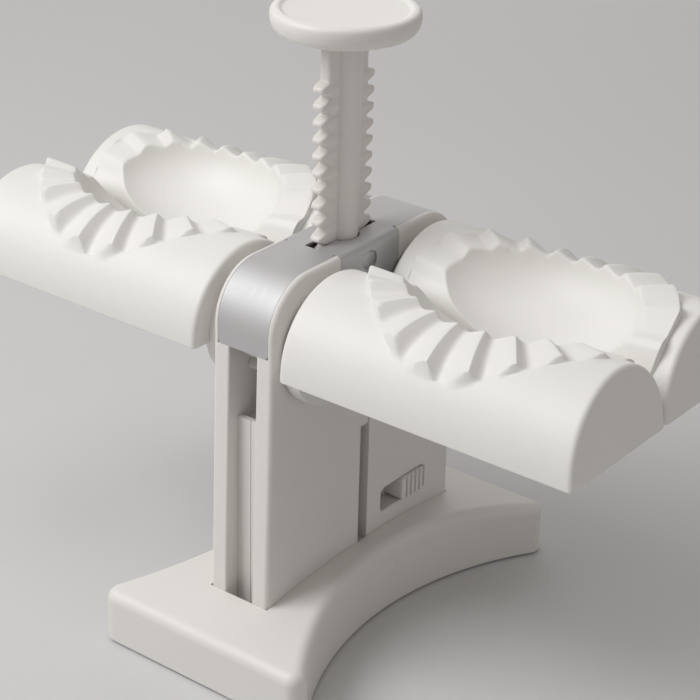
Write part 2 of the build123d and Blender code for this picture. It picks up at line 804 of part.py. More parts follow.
def half_round(radius, skirt):
    """Section of a mould: a half disc about the front axle with a short straight skirt."""
    with BuildSketch() as section:
        with BuildLine():
            ThreePointArc((-axle_y - radius, axle_height), (-axle_y, axle_height + radius),
                          (-axle_y + radius, axle_height))
            Polyline((-axle_y + radius, axle_height), (-axle_y + radius, axle_height - skirt),
                     (-axle_y - radius, axle_height - skirt), (-axle_y - radius, axle_height))
        make_face()
    return section.sketch


cover_inner_x = drive_end_x + 3.0
cover_outer_x = mould_outer_x - cover_margin
cover_half_y = mould_radius - cover_margin


def mould(side):
    """Front mould on the right (side 1) or the left (side -1)."""
    def away(distance):
        """Plane across X at a distance from the middle, on this mould's side."""
        return Plane.YZ.offset(side * distance)

    with BuildPart() as cavity:
        with BuildSketch(away(cover_inner_x)):
            add(half_round(mould_radius - mould_wall, mould_skirt - cover_thickness + 0.5))
        extrude(amount=side * (mould_outer_x - mould_end_wall - cover_inner_x))
        add(bowl_form(side, bowl_wall), mode=Mode.SUBTRACT)

    with BuildPart() as body:
        with BuildSketch(away(mould_inner_x)):
            add(half_round(mould_radius, mould_skirt))
        extrude(amount=side * mould_length)
        with BuildSketch(Plane.XZ):
            with BuildLine():
                top_x = mould_outer_x - (mould_radius + mould_skirt) * tan(radians(end_draft))
                Polyline((side * mould_outer_x, mould_bottom),
                         (side * top_x, axle_height + mould_radius),
                         (side * mould_outer_x, axle_height + mould_radius), close=True)
            make_face()
        extrude(amount=2 * axle_spacing, mode=Mode.SUBTRACT)
        outer_end = body.faces().sort_by(Axis.X)[-1 if side > 0 else 0]
        fillet(outer_end.edges(), radius=end_round)
        add(fan_blank(side))
        add(fan_crimp(side), mode=Mode.SUBTRACT)
        add(bowl_form(side, 0), mode=Mode.SUBTRACT)
        with BuildSketch(away(collar_start_x)):
            with Locations((-axle_y, axle_height)):
                Circle(collar_radius)
        extrude(amount=side * (mould_inner_x + 1 - collar_start_x))
        with BuildSketch(away(mould_inner_x)):
            with Locations((-axle_y, axle_height)):
                Circle(boss_radius)
        extrude(amount=side * (drive_end_x + 2 - mould_inner_x))
        add(cavity.part, mode=Mode.SUBTRACT)
        with BuildSketch(Plane.XY.offset(mould_bottom)):
            with Locations((side * (cover_inner_x + cover_outer_x) / 2, -axle_y)):
                Rectangle(cover_outer_x - cover_inner_x, 2 * cover_half_y)
        extrude(amount=cover_thickness, mode=Mode.SUBTRACT)
        with BuildSketch(away(collar_start_x)):
            with Locations((-axle_y, axle_height)):
                Circle(journal_radius + running_clearance)
        extrude(amount=side * journal_overrun, mode=Mode.SUBTRACT)
        with BuildSketch(away(collar_start_x)):
            with Locations((-axle_y, axle_height)):
                Rectangle(drive_width + 2 * drive_clearance, drive_width + 2 * drive_clearance)
        extrude(amount=side * (drive_end_x - collar_start_x + drive_clearance), mode=Mode.SUBTRACT)
        with BuildSketch(Plane.XY.offset(axle_height - boss_radius)):
            with Locations((side * mould_screw_x, -axle_y)):
                Circle(mould_screw_head_radius)
        extrude(amount=mould_screw_head_height, mode=Mode.SUBTRACT)
        with BuildSketch(Plane.XY.offset(axle_height - boss_radius)):
            with Locations((side * mould_screw_x, -axle_y)):
                Circle(mould_screw_radius)
        extrude(amount=boss_radius, mode=Mode.SUBTRACT)
    return body.part


def mould_cover(side):
    """Flat plate that closes the hollow underside of a front mould."""
    with BuildPart() as cover:
        with BuildSketch(Plane.XY.offset(mould_bottom)):
            with Locations((side * (cover_inner_x + cover_outer_x) / 2, -axle_y)):
                RectangleRounded(cover_outer_x - cover_inner_x - 2 * cover_gap,
                                 2 * (cover_half_y - cover_gap), 1.0)
        extrude(amount=cover_thickness)
    return cover.part


with BuildPart() as mould_screws:
    for side in (-1, 1):
        with BuildSketch(Plane.XY.offset(axle_height - boss_radius)):
            with Locations((side * mould_screw_x, -axle_y)):
                Circle(mould_screw_head_radius)
        extrude(amount=mould_screw_head_height)
        with BuildSketch(Plane.XY.offset(axle_height - boss_radius)):
            with Locations((side * mould_screw_x, -axle_y)):
                Circle(mould_screw_radius)
        extrude(amount=boss_radius + 2)
finish(mould_screws.part, "front_mould_screws", "front_mould_screws")
finish(mould_screws.part.rotate(Axis.Z, 180), "back_mould_screws", "back_mould_screws")

for side, front_name, back_name in ((1, "right", "left"), (-1, "left", "right")):
    one_mould = mould(side)
    one_cover = mould_cover(side)
    finish(one_mould, f"front_{front_name}_mould", f"front_{front_name}_mould")
    finish(one_cover, f"front_{front_name}_cover", f"front_{front_name}_cover")
    finish(one_mould.rotate(Axis.Z, 180), f"back_{back_name}_mould", f"back_{back_name}_mould")
    finish(one_cover.rotate(Axis.Z, 180), f"back_{back_name}_cover", f"back_{back_name}_cover")
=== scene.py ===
"""Dress the double-head empanada press: finishes, crimped moulds, fasteners, floor, light and camera.

Every length is in metres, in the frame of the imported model: +X along the moulds, +Z up, front at -Y.
"""
from __future__ import annotations

import logging
import math
from dataclasses import dataclass
from enum import Enum

import bmesh
import bpy
import numpy as np
from mathutils import Matrix, Vector


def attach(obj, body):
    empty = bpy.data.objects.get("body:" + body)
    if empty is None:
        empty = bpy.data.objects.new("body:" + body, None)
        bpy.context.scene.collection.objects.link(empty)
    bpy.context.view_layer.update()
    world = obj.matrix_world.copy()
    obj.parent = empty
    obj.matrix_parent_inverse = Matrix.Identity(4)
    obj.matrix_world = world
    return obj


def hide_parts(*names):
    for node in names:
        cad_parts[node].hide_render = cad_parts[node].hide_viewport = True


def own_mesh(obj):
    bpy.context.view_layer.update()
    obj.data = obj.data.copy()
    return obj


Material, Object = bpy.types.Material, bpy.types.Object
Array, Pair, Triple = np.ndarray, tuple[float, float], tuple[float, float, float]

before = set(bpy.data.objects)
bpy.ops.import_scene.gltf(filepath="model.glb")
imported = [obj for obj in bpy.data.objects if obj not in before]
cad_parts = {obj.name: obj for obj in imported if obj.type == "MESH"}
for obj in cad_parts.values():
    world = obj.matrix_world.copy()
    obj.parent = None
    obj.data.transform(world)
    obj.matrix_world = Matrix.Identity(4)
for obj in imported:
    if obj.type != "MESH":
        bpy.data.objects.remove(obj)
LOG = logging.getLogger("empanada_press")
MM = 0.001
QUARTER = math.pi / 2
EDGE_SAMPLES = 4
MERGE_REACH = 2e-6
SLIVER_REACH = 1e-7


# ---- shader maths
@dataclass(frozen=True, eq=False)
class Signal:
    """Output socket of a node tree, used as a value in Python expressions."""

    graph: NodeTree
    socket: bpy.types.NodeSocket

    def apply(self, operation: str, *others: Value) -> Signal:
        """Math node of this value and others."""
        return self.graph.node("ShaderNodeMath", dict(enumerate((self, *others))), operation=operation)

    def __add__(self, other: Value) -> Signal:
        """Sum with another value."""
        return self.apply("ADD", other)

    __radd__ = __add__

    def __sub__(self, other: Value) -> Signal:
        """Take another value off this one."""
        return self.apply("SUBTRACT", other)

    def __rsub__(self, other: Value) -> Signal:
        """Take this value off another one."""
        return self.graph.node("ShaderNodeMath", {0: other, 1: self}, operation="SUBTRACT")

    def __mul__(self, other: Value) -> Signal:
        """Product with another value."""
        return self.apply("MULTIPLY", other)

    __rmul__ = __mul__

    def __truediv__(self, other: Value) -> Signal:
        """This value divided by another one."""
        return self.apply("DIVIDE", other)

    def __pow__(self, power: float) -> Signal:
        """This value raised to a power."""
        return self.apply("POWER", power)

    def sibling(self, name: str) -> Signal:
        """Another output of the same node."""
        return Signal(self.graph, self.socket.node.outputs[name])

    def clamp(self, low: float = 0.0, high: float = 1.0) -> Signal:
        """This value held between two limits."""
        return self.apply("MINIMUM", high).apply("MAXIMUM", low)


Value = Signal | float


@dataclass
class NodeTree:
    """Node tree with a short call for any node."""

    tree: bpy.types.NodeTree

    def node(self, kind: str, sockets: dict | None = None, output: str | int = 0,
             **settings: str | int) -> Signal:
        """Add a node.

        Args:
            kind: Type name of the node.
            sockets: Values or signals by the name or the number of the input.
            output: Name or number of the output that is returned.
            **settings: Properties that are set before its sockets.

        Returns:
            The chosen output.
        """
        made = self.tree.nodes.new(kind)
        for key, value in settings.items():
            setattr(made, key, value)
        for key, value in (sockets or {}).items():
            target = made.inputs[key]
            if isinstance(value, Signal):
                self.tree.links.new(value.socket, target)
            else:
                target.default_value = value
        return Signal(self, made.outputs[output])


class Graph(NodeTree):
    """Node tree of one material."""

    def __init__(self, name: str) -> None:
        """Start an empty material.

        Args:
            name: Name of the material.
        """
        self.material = bpy.data.materials.new(name)
        self.material.use_nodes = True
        super().__init__(self.material.node_tree)
        self.tree.nodes.clear()

    def noise(self, scale: float, detail: float = 2.0, roughness: float = 0.5,
              stretch: Triple = (1.0, 1.0, 1.0)) -> Signal:
        """Noise between 0 and 1 on Object coordinates, stretched along each axis."""
        spot = self.node("ShaderNodeTexCoord", output="Object")
        place = self.node("ShaderNodeMapping", {"Vector": spot, "Scale": stretch}, vector_type="POINT")
        sockets = {"Vector": place, "Scale": scale, "Detail": detail, "Roughness": roughness}
        return self.node("ShaderNodeTexNoise", sockets, "Fac")

    def blend(self, share: Signal, low: Triple, high: Triple) -> Signal:
        """Colour between two colours by a share."""
        colours = {6: (*low, 1.0), 7: (*high, 1.0)}
        return self.node("ShaderNodeMix", {0: share} | colours, 2, data_type="RGBA")

    def bump(self, height: Signal, strength: float, depth: float, normal: Signal | None = None) -> Signal:
        """Normal that a height makes uneven."""
        sockets = {"Strength": strength, "Distance": depth, "Height": height}
        return self.node("ShaderNodeBump", sockets | ({"Normal": normal} if normal else {}), "Normal")

    def soft_edge(self, radius: float) -> Signal:
        """Normal that is rounded over the edges."""
        return self.node("ShaderNodeBevel", {"Radius": radius}, samples=EDGE_SAMPLES)

    def finish(self, sockets: dict[str, Value | tuple]) -> Material:
        """Join a shader to the material's output.

        Args:
            sockets: Inputs of the shader.

        Returns:
            The finished material.
        """
        shader = self.node("ShaderNodeBsdfPrincipled", sockets)
        output = self.tree.nodes.new("ShaderNodeOutputMaterial")
        self.tree.links.new(shader.socket, output.inputs["Surface"])
        return self.material


# ---- finishes
class Slot(Enum):
    """Material slots of the record."""

    MOULD = "mould_plastic"
    HOUSING = "housing_plastic"
    KNOB = "knob_plastic"
    RACK = "rack_plastic"
    GEAR = "gear_plastic"
    LOCK = "lock_plastic"
    STRAP = "strap_metal"
    RIVET = "rivet_metal"
    SCREW = "screw_steel"
    SPRING = "spring_steel"
    RUBBER = "foot_rubber"


@dataclass(frozen=True)
class PlasticFinish:
    """Injection-moulded plastic: faint clouding, a fine moulded skin, slightly lighter rounded edges, and
    painted shade that darkens crevices and gaps between parts.
    """

    slot: Slot
    colour: Triple
    roughness: float = 0.36
    skin: float = 0.10
    skin_scale: float = 1400.0
    cloud_scale: float = 38.0
    clouding: float = 0.02
    dark_share: float = 0.86
    # Reach of the occlusion, and strength of the painted shade that it puts into crevices.
    painted_shade_reach: float = 7 * MM
    painted_shade_share: float = 0.10
    sink_scale: float = 85.0
    sink_depth: float = 0.25 * MM
    edge_radius: float = 0.4 * MM

    def build(self) -> Material:
        """Make the material.

        Returns:
            The finished material.
        """
        graph = Graph(f"{self.slot.value}_finish")
        dark = [channel * (1 - self.clouding) * self.dark_share for channel in self.colour]
        cloud = graph.noise(self.cloud_scale, 3.0)
        skin = graph.noise(self.skin_scale, 3.0, 0.6)
        ripple = graph.noise(self.sink_scale, 1.0)
        # Ambient occlusion, turned into painted shade in crevices, pleat troughs and gaps between parts.
        occlusion = graph.node("ShaderNodeAmbientOcclusion", {"Distance": self.painted_shade_reach}, "AO",
                             samples=EDGE_SAMPLES)
        # Painted shade from the occlusion, plus the plastic's own faint clouding, darkens the colour.
        shade = (1 - occlusion) * self.painted_shade_share + cloud * 0.2
        colour = graph.blend(shade.clamp(), self.colour, dark)
        grain = graph.bump(skin, self.skin, 0.05 * MM, graph.soft_edge(self.edge_radius))
        sink = graph.bump(ripple, 0.12, self.sink_depth, grain)
        rough = self.roughness + (skin - 0.5) * 0.14 + (cloud - 0.5) * 0.10
        return graph.finish({"Base Color": colour, "Roughness": rough.clamp(0.05, 0.9), "Normal": sink,
                             "IOR": 1.49})


@dataclass(frozen=True)
class MetalFinish:
    """Metal with a drawn or brushed grain along one direction, and faint handling marks."""

    slot: Slot
    colour: Triple
    roughness: float
    grain: Triple = (1.0, 1.0, 1.0)
    grain_scale: float = 1800.0
    grain_depth: float = 0.10
    mark_scale: float = 60.0
    dark_share: float = 0.84
    edge_radius: float = 0.15 * MM

    def build(self) -> Material:
        """Make the material.

        Returns:
            The finished material.
        """
        graph = Graph(f"{self.slot.value}_finish")
        lines = graph.noise(self.grain_scale, 4.0, 0.65, self.grain)
        marks = graph.noise(self.mark_scale, 3.0)
        shade = (lines - 0.5) * 0.5 + (marks - 0.5) * 0.3 + 0.5
        dark = [channel * self.dark_share for channel in self.colour]
        colour = graph.blend(shade.clamp(), dark, self.colour)
        rough = self.roughness + (lines - 0.5) * 0.16 + (marks - 0.5) * 0.10
        bump = graph.bump(lines, self.grain_depth, 0.04 * MM, graph.soft_edge(self.edge_radius))
        return graph.finish({"Base Color": colour, "Metallic": 1.0, "Roughness": rough.clamp(0.08, 0.9),
                             "Normal": bump})


@dataclass(frozen=True)
class RubberFinish:
    """Matt rubber with a dusty, finely pitted skin."""

    slot: Slot
    colour: Triple
    dust_scale: float = 160.0
    pit_scale: float = 1600.0
    dust_gain: float = 2.2

    def build(self) -> Material:
        """Make the material.

        Returns:
            The finished material.
        """
        graph = Graph(f"{self.slot.value}_finish")
        dust = graph.noise(self.dust_scale, 4.0, 0.6)
        pits = graph.noise(self.pit_scale, 3.0, 0.7)
        dusty = [channel * self.dust_gain for channel in self.colour]
        colour = graph.blend(((dust - 0.45) * 2.5).clamp(), self.colour, dusty)
        return graph.finish({"Base Color": colour, "Roughness": 0.72 + (pits - 0.5) * 0.2,
                             "Normal": graph.bump(pits, 0.3, 0.06 * MM)})


FINISHES = (
    PlasticFinish(Slot.MOULD, (0.80, 0.79, 0.765), 0.50),
    PlasticFinish(Slot.HOUSING, (0.76, 0.74, 0.715), 0.50, 0.16),
    PlasticFinish(Slot.KNOB, (0.79, 0.77, 0.745), 0.46),
    PlasticFinish(Slot.RACK, (0.77, 0.74, 0.715), 0.40),
    PlasticFinish(Slot.GEAR, (0.76, 0.74, 0.715), 0.42),
    PlasticFinish(Slot.LOCK, (0.78, 0.76, 0.735), 0.46),
    MetalFinish(Slot.STRAP, (0.66, 0.66, 0.665), 0.68, (1.0, 0.04, 0.04)),
    MetalFinish(Slot.RIVET, (0.52, 0.52, 0.53), 0.36),
    MetalFinish(Slot.SCREW, (0.50, 0.50, 0.51), 0.30),
    MetalFinish(Slot.SPRING, (0.42, 0.42, 0.43), 0.28),
    RubberFinish(Slot.RUBBER, (0.035, 0.035, 0.036)),
)


# ---- geometry trees
class Recipe(NodeTree):
    """Geometry Nodes tree with named number inputs for its sizes."""

    def __init__(self, name: str, owner: object, fields: str) -> None:
        """Start a tree that takes and gives geometry.

        Args:
            name: Name of the tree.
            owner: Piece that the tree makes.
            fields: Names of the piece's sizes that become inputs.
        """
        super().__init__(bpy.data.node_groups.new(name, "GeometryNodeTree"))
        socket = self.tree.interface.new_socket
        for way in ("INPUT", "OUTPUT"):
            socket("Geometry", in_out=way, socket_type="NodeSocketGeometry")
        self.sizes = {field: float(getattr(owner, field)) for field in fields.split()}
        self.keys = {field: socket(field, in_out="INPUT", socket_type="NodeSocketFloat").identifier
                     for field in self.sizes}
        self.source = self.tree.nodes.new("NodeGroupInput")

    def all_sizes(self) -> list[Signal]:
        """Values of all the named inputs, in order."""
        return [Signal(self, self.source.outputs[name]) for name in self.sizes]

    def start(self) -> Signal:
        """The geometry that the tree is given."""
        return Signal(self, self.source.outputs["Geometry"])

    def attribute(self, name: str) -> Signal:
        """A number stored on every point."""
        return self.node("GeometryNodeInputNamedAttribute", {"Name": name}, data_type="FLOAT")

    def position(self) -> tuple[Signal, Signal, Signal]:
        """Place of every point along X, Y and Z."""
        split = self.node("ShaderNodeSeparateXYZ", {"Vector": self.node("GeometryNodeInputPosition")})
        return split, split.sibling("Y"), split.sibling("Z")

    def shift(self, geometry: Signal, **parts: Signal) -> Signal:
        """Geometry that is moved by an offset, given along X, Y or Z."""
        offset = self.node("ShaderNodeCombineXYZ", parts)
        return self.node("GeometryNodeSetPosition", {"Geometry": geometry, "Offset": offset})

    def bake(self, piece: Object, geometry: Signal, material: Material) -> None:
        """End the tree, run it on a piece and keep its result as the piece's plain mesh.

        Args:
            piece: Object that gives the tree its geometry.
            geometry: Geometry that the tree ends with.
            material: Material of the result.
        """
        real = self.node("GeometryNodeRealizeInstances", {"Geometry": geometry})
        dressed = self.node("GeometryNodeSetMaterial", {"Geometry": real, "Material": material})
        end = self.tree.nodes.new("NodeGroupOutput")
        self.tree.links.new(dressed.socket, end.inputs["Geometry"])
        modifier = piece.modifiers.new("recipe", "NODES")
        modifier.node_group = self.tree
        for size, value in self.sizes.items():
            modifier[self.keys[size]] = value
        evaluated = piece.evaluated_get(bpy.context.evaluated_depsgraph_get())
        result = bpy.data.meshes.new_from_object(evaluated)
        piece.modifiers.remove(modifier)
        piece.data = result


# ---- meshes
def show(name: str, data: bpy.types.ID) -> Object:
    """Put a mesh, a lamp or a lens into the scene as a new object."""
    bpy.context.scene.collection.objects.link(made := bpy.data.objects.new(name, data))
    return made


class Patchwork:
    """Mesh made of tubes of points, whose shared borders are merged."""

    def __init__(self) -> None:
        """Start with no tubes."""
        self.points: list[Array] = []
        self.faces: list[tuple[int, ...]] = []
        self.marks: dict[str, list[Array]] = {}
        self.count = 0

    def tube(self, points: Array, marks: dict[str, Array]) -> None:
        """Add a tube of quads, whose last column joins the first one.

        Args:
            points: Places in an array of rows, columns and 3.
            marks: Numbers stored on the points, each in an array of rows and columns.
        """
        rows, columns = points.shape[:2]
        for name, values in marks.items():
            self.marks.setdefault(name, []).append(values.ravel())
        for row in range(rows - 1):
            for column in range(columns):
                after = (column + 1) % columns
                low, high = self.count + row * columns, self.count + (row + 1) * columns
                self.faces.append((low + column, low + after, high + after, high + column))
        self.points.append(points.reshape(-1, 3))
        self.count += rows * columns

    def build(self, name: str) -> Object:
        """Make the object, with its marks as attributes.

        Args:
            name: Name of the object.

        Returns:
            The new object, in the scene.
        """
        mesh = bpy.data.meshes.new(name)
        mesh.from_pydata(np.concatenate(self.points).tolist(), [], self.faces)
        for mark, stored in self.marks.items():
            layer = mesh.attributes.new(mark, "FLOAT", "POINT")
            layer.data.foreach_set("value", np.concatenate(stored).astype(np.float32))
        return show(name, mesh)


def close_up(piece: Object, sharp: float = 38.0) -> None:
    """Merge doubles, turn the faces outwards and shade the piece smooth up to an angle.

    Args:
        piece: Object whose mesh is finished.
        sharp: Angle in degrees past which an edge stays sharp.
    """
    shape = bmesh.new()
    shape.from_mesh(piece.data)
    bmesh.ops.remove_doubles(shape, verts=shape.verts, dist=MERGE_REACH)
    bmesh.ops.dissolve_degenerate(shape, edges=shape.edges, dist=SLIVER_REACH)
    bmesh.ops.recalc_face_normals(shape, faces=shape.faces)
    shape.to_mesh(piece.data)
    shape.free()
    for mark in [layer.name for layer in piece.data.attributes if layer.name in MOULD_MARKS]:
        piece.data.attributes.remove(piece.data.attributes[mark])
    piece.data.shade_smooth()
    piece.data.set_sharp_from_angle(angle=math.radians(sharp))


def soft_low(first: Array, second: Array | float, blend: float) -> Array:
    """Lower of two values, rounded off over a blend where they cross."""
    overlap = np.maximum(blend - np.abs(first - second), 0) / blend
    return np.minimum(first, second) - overlap ** 3 * blend / 6


def soft_high(first: Array, second: Array | float, blend: float) -> Array:
    """Higher of two values, rounded off over a blend where they cross."""
    return -soft_low(-first, -second, blend)


def even_steps(path: Array, steps: int) -> Array:
    """Places along a path at even distances.

    Args:
        path: Closely spaced points in an array of points and 3.
        steps: Number of steps between the path's ends.

    Returns:
        The points, one more than steps.
    """
    lengths = np.r_[0.0, np.cumsum(np.linalg.norm(np.diff(path, axis=0), axis=1))]
    wanted = np.linspace(0, lengths[-1], steps + 1)
    return np.stack([np.interp(wanted, lengths, path[:, axis]) for axis in range(3)], axis=1)


MOULD_MARKS = ("wave", "share", "gate", "hold")
BOWL_STEPS, RIM_STEPS, FAN_STEPS, BORDER_STEPS, ROUND_STEPS = 24, 5, 12, 4, 16
FINE_STEPS = 200
BEND_STEPS = 5


@dataclass
class CrimpedMould:
    """Half-round roller with a quarter bowl and a fan of crimping pleats.

    It is worked out as the front mould on one side, and turned half round for a back one.
    """

    name: str
    side: int
    back: bool
    axle_y: float = -29.8 * MM
    axle_z: float = 126.0 * MM
    radius: float = 29.4 * MM
    inner_x: float = 19.4 * MM
    outer_x: float = 139.83 * MM
    skirt: float = 2.6 * MM
    draft: float = 6.0
    outer_round: float = 1.8 * MM
    inner_round: float = 1.9 * MM
    foot_round: float = 0.45 * MM
    bowl_reach: Pair = (43.0 * MM, 36.0 * MM)
    bowl_depth: float = 25.0 * MM
    bowl_z: float = 157.0 * MM
    rim_round: float = 1.2 * MM
    fan_y: float = -5.5 * MM
    fan_reach: Pair = (55.0 * MM, 49.4 * MM)
    fan_pinch: float = 0.055
    inner_share: float = 0.5
    crest_share: float = 0.986
    trough_share: float = 0.96
    pleats: float = 10.5
    steep: float = 0.24
    crest: float = 0.07
    trough: float = 0.10
    pleat_height: float = 2.45 * MM
    inner_height: float = 0.9 * MM
    mean_rise: float = 0.75 * MM
    high_lean: float = 0.8
    low_lean: float = 0.25
    end_fade: float = 0.34
    fade_reach: Pair = (0.09, 0.11)
    low_gate: float = 0.4
    round_from: float = 0.75
    border_from: float = 0.9
    crest_softness: float = 0.5
    trough_softness: float = 1.1
    cover_x: Pair = (37.6 * MM, 137.4 * MM)
    cover_half_y: float = 26.8 * MM
    cover_depth: float = 2.0 * MM

    @property
    def middle_x(self) -> float:
        """Middle of the mould along X."""
        return self.side * (self.inner_x + self.outer_x) / 2

    @property
    def floor_z(self) -> float:
        """Height of the mould's flat underside."""
        return self.axle_z - self.skirt

    def swing(self, turn: Array) -> Array:
        """Pleat wave: long faces rise towards +X, short steep ones fall.

        Args:
            turn: Turn of the pleat line in degrees.

        Returns:
            The wave, between -1 and 1.
        """
        phase = np.mod((90.0 - turn) * self.pleats / 180.0, 1.0)
        long = 1 - self.steep - self.crest - self.trough
        rising = 2 * (phase - self.steep / 2 - self.trough) / long - 1
        low, high = self.trough_softness, self.crest_softness
        wave = soft_high(soft_high(-2 * phase / self.steep, -1.0, low), rising, low)
        return soft_low(soft_low(wave, 1.0, high), 2 * (1 - phase) / self.steep, high)

    def fades(self, turn: float) -> Triple:
        """How much of the crimp is left on one pleat line, since it fades past the fan's ends.

        Args:
            turn: Turn of the line in degrees.

        Returns:
            Shares of the pleats' height and of the mean rise, and the lean.
        """
        sine, cosine = math.sin(math.radians(turn)), math.cos(math.radians(turn))
        high, low = self.fade_reach
        gate = 1 + sine / high if cosine < 0 else self.low_gate + sine / low
        gate = min(max(gate, 0.0), 1.0)
        pleats = gate * (self.end_fade + (1 - self.end_fade) * max(sine, 0.0))
        return pleats, gate, -gate * cosine * (self.high_lean if cosine < 0 else self.low_lean)

    def way(self, turn: float) -> tuple[Array, float]:
        """Direction in plan of one pleat line, and the fan's reach along it."""
        angle = math.radians(turn)
        reach = np.array([self.fan_reach[0] * math.cos(angle), -self.fan_reach[1] * math.sin(angle)])
        length = float(np.linalg.norm(reach))
        return reach / length, length * (1 - self.fan_pinch * math.sin(2 * angle) ** 2)

    def turn_to(self, x: float, y: float) -> float:
        """Turn of the pleat line that passes through a place in plan, in degrees from -90 to 270."""
        across = (x - self.middle_x) / self.fan_reach[0]
        turn = math.degrees(math.atan2(-(y - self.fan_y) / self.fan_reach[1], across))
        return turn + 360 if turn < -90 else turn

    def end_x(self, z: Array | float, towards: int) -> Array | float:
        """Place of the end face at a height: the outer one leans in by the draft."""
        if towards == self.side:
            return self.side * (self.outer_x - (z - self.floor_z) * math.tan(math.radians(self.draft)))
        return self.side * self.inner_x + 0 * z

    def end_round(self, towards: int) -> float:
        """Radius of the rounded edge of an end."""
        return self.outer_round if towards == self.side else self.inner_round

    def round_z(self, y: Array, rise: Array | float = 0.0) -> Array:
        """Height of the half-round surface, raised by a rise."""
        return self.axle_z + np.sqrt(np.maximum((self.radius + rise) ** 2 - (y - self.axle_y) ** 2, 0))

    def rise(self, wave: float, gate: float, share: Array) -> Array:
        """Rise of the crimped surface above the round, along one pleat line.

        Args:
            wave: The line's wave.
            gate: The line's share of the mean rise.
            share: Distances along the line, as shares of the fan's reach.

        Returns:
            The rise at each distance.
        """
        grown = np.clip((share - self.inner_share) / (self.crest_share - self.inner_share), 0, 1)
        height = self.inner_height + (self.pleat_height - self.inner_height) * grown
        risen = self.mean_rise * gate + wave * height
        steep = np.clip((1 - share) / (1 - self.crest_share), 0, 1)
        gentle = np.clip((1 - share) / (1 - self.trough_share), 0, 1)
        return np.maximum(risen, 0) * steep + np.minimum(risen, 0) * gentle

    def bowl(self, x: Array, y: Array) -> Array:
        """Height of the bowl's surface, far above the mould outside the bowl."""
        inside = 1 - ((x - self.middle_x) / self.bowl_reach[0]) ** 2 - (y / self.bowl_reach[1]) ** 2
        return np.where(inside > 0, self.bowl_z - self.bowl_depth * np.sqrt(np.maximum(inside, 0)), 1.0)

    def corner(self, towards: int, side_y: float) -> Pair:
        """Place in plan where the line into a corner meets the rounded edge of an end that leans.

        Args:
            towards: The end, -1 or 1.
            side_y: Place of the side along Y.

        Returns:
            The place along X and Y.
        """
        x = self.end_x(self.axle_z, towards) - towards * self.end_round(towards)
        spread = abs((x - self.middle_x) / (side_y - self.fan_y))
        slope = math.tan(math.radians(self.draft)) if towards == self.side else 0.0
        angle = math.atan(slope / spread)
        way = math.copysign(math.cos(angle), side_y - self.axle_y)
        return x - towards * slope * self.radius * math.sin(angle), self.axle_y + self.radius * way

    def turns(self) -> tuple[list[float], list[float]]:
        """Find the lines that the surface is drawn along.

        Returns:
            Turns of all the lines, and of the four at the corners.
        """
        sides = [self.axle_y + self.radius, self.axle_y - self.radius]
        corners = sorted(self.turn_to(*self.corner(towards, y)) for towards in (-1, 1) for y in sides)
        others = list(np.arange(0, 180.01, 180 / (self.pleats * 16)))
        around = np.radians(np.r_[4:20:1.5, 20:160:3, 160:177:1.5])
        for towards in (-1, 1):
            for angle in around:
                y = self.axle_y + self.radius * math.cos(angle)
                z = self.axle_z + self.radius * math.sin(angle)
                others.append(self.turn_to(self.end_x(z, towards) - towards * self.end_round(towards), y))
        low, high = sorted((self.side * self.inner_x, self.side * self.outer_x))
        others += [self.turn_to(x, sides[0]) for x in np.linspace(low + 3 * MM, high - 5 * MM, 64)]
        kept = list(corners)
        for turn in others:
            if min(abs(turn - other) for other in kept) > 0.05:
                kept.append(turn)
        return sorted(kept), corners

    def edge(self, way: Array) -> tuple[float, int]:
        """Find where a line leaves the mould's top.

        Args:
            way: Direction of the line in plan.

        Returns:
            The distance, and the end that it leaves by, 0 for a side.
        """
        towards = 1 if way[0] > 0 else -1
        steps = np.linspace(0, 0.12, 4001)
        limit = self.end_x(self.round_z(self.fan_y + steps * way[1]), towards)
        room = towards * (limit - self.middle_x - steps * way[0]) - self.end_round(towards)
        side_y = self.axle_y + math.copysign(self.radius, way[1])
        to_side = (side_y - self.fan_y) / way[1] if abs(way[1]) > 1e-9 else math.inf
        if room.min() >= 0:
            return to_side, 0
        past = int(np.argmax(room < 0))
        to_end = float(np.interp(0, [-room[past - 1], -room[past]], [steps[past - 1], steps[past]]))
        return (to_end, towards) if to_end < to_side else (to_side, 0)

    def line(self, turn: float, corner: bool) -> tuple[Array, dict[str, Array], int]:
        """Surface points along one line from the middle of the fan to the mould's edge.

        Args:
            turn: Turn of the line in degrees.
            corner: True where the line runs into a corner.

        Returns:
            The points, their marks, and where the line ends: 0 at a side, -1 or 1 at an end.
        """
        way, reach = self.way(turn)
        edge, end = self.edge(way)
        if corner:
            end = 1 if way[0] > 0 else -1
            side_y = self.axle_y + math.copysign(self.radius, way[1])
            edge = (self.corner(end, side_y)[1] - self.fan_y) / way[1]
        pleats, gate, lean = self.fades(turn)
        wave = float(self.swing(np.array(turn))) * pleats + lean

        def path(low: float, high: float, form: str) -> Array:
            """Closely spaced points of the bowl, the crimped fan or the round between two distances."""
            along = low + (high - low) * (1 - np.linspace(1, 0, 500) ** (2 if form == "round" else 1))
            px, py = self.middle_x + along * way[0], self.fan_y + along * way[1]
            rise = self.rise(wave, gate, along / reach) if form == "fan" else 0.0
            return np.stack([px, py, self.bowl(px, py) if form == "bowl" else self.round_z(py, rise)], 1)

        search = path(0, edge, "fan")
        over = self.bowl(search[:, 0], search[:, 1]) - search[:, 2]
        start = int(np.argmax(over > 0))
        distances = np.hypot(search[:, 0] - self.middle_x, search[:, 1] - self.fan_y)
        rim = float(np.interp(0, over[start - 1:start + 1], distances[start - 1:start + 1]))
        outer = min(reach, rim + self.round_from * (edge - rim))
        crest = min(self.crest_share * reach, rim + self.border_from * (outer - rim))
        rounding = self.rim_round * float(np.clip(0.7 + 1.5 * math.sin(math.radians(turn)), 0.4, 1))

